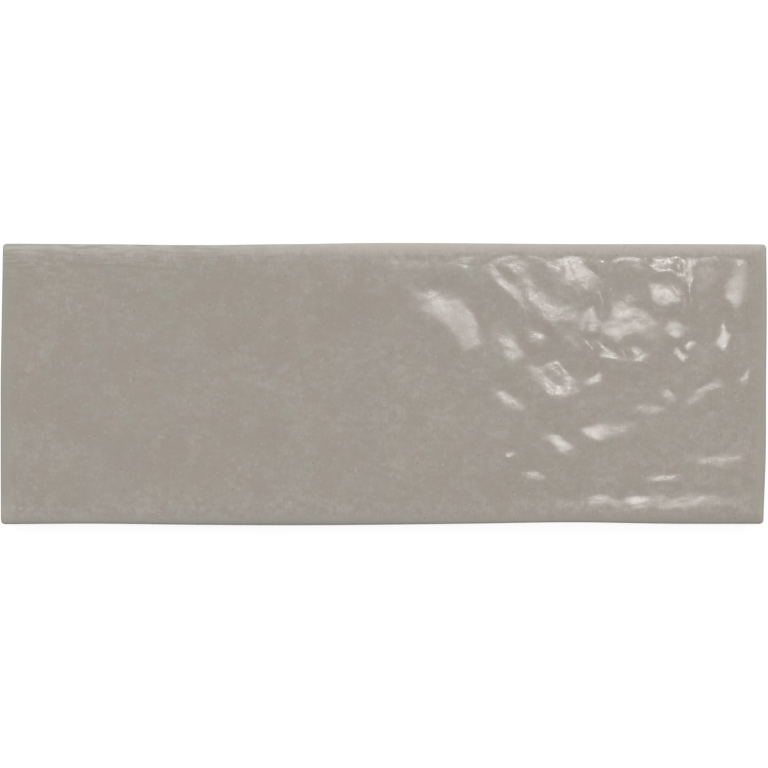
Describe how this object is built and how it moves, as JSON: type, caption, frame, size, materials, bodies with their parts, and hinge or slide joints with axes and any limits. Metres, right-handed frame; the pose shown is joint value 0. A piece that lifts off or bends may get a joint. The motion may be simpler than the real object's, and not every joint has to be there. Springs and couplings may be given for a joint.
{
  "type": "wall tile",
  "caption": "Oblong glazed wall tile with a hand-pressed wavy face, softly rolled edges and a keyed flat back.",
  "frame": {"origin": "on the flat back, at the middle of the tile's outline", "axes": "+X along the tile, +Y up the tile as it hangs on a wall, +Z out of the glazed face"},
  "size_m": [0.2, 0.0738, 0.0086],
  "materials": {
    "greige_glaze": "gloss"
  },
  "bodies": {
    "root": {"wall_tile": "greige_glaze"}
  },
  "joints": []
}
